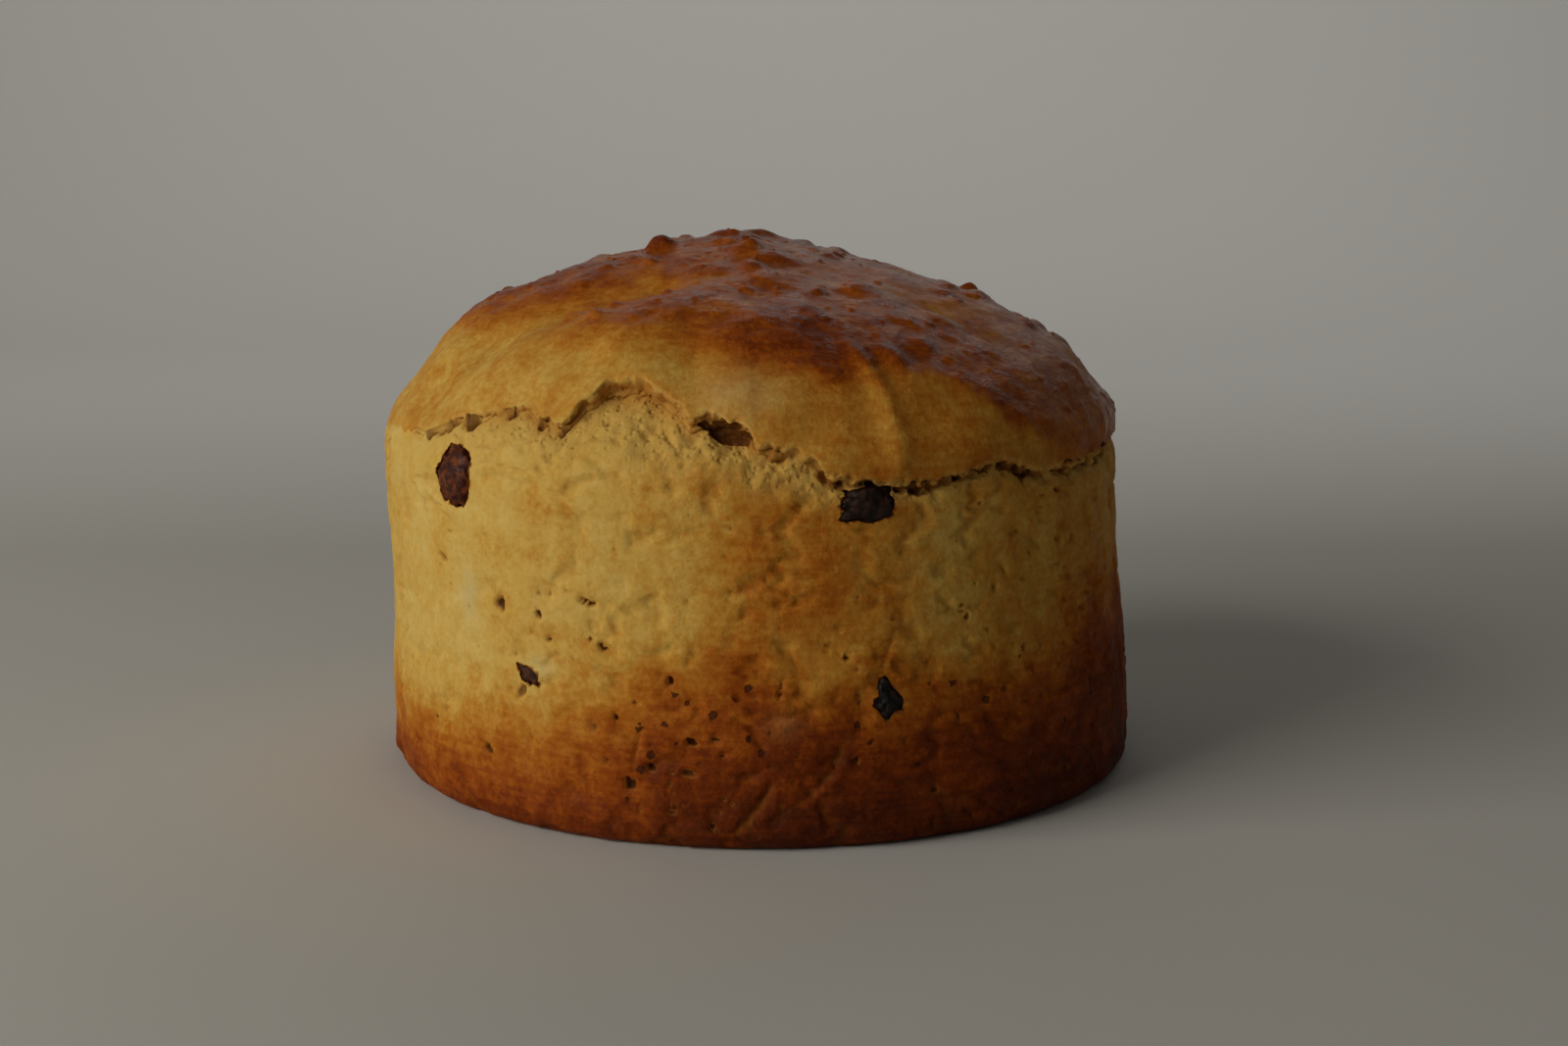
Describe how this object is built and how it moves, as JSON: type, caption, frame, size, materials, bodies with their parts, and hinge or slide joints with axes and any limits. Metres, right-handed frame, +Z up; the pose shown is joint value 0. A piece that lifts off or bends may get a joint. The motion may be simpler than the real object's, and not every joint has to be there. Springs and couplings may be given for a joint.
{
  "type": "panettone",
  "caption": "Round tall sweet bread with a straight browned wall, a torn seam under a domed glossy crust and raisins set in the wall.",
  "frame": {"origin": "middle of the flat base, on the surface the loaf stands on", "axes": "+Z up through the dome; -Y faces the viewer of the picture; +X is the viewer's right"},
  "size_m": [0.1833, 0.1827, 0.1276],
  "materials": {
    "crust": "baked bread crust: pale golden wall browning towards the base, glossy brown dome",
    "raisin": "dark wrinkled dried fruit, slightly shiny"
  },
  "bodies": {
    "root": {"loaf": "crust", "raisin_left": "raisin", "raisin_middle": "raisin", "raisin_low": "raisin", "raisin_small": "raisin", "raisin_right": "raisin", "raisin_back": "raisin", "raisin_back_low": "raisin", "raisin_back_left": "raisin"}
  },
  "joints": []
}
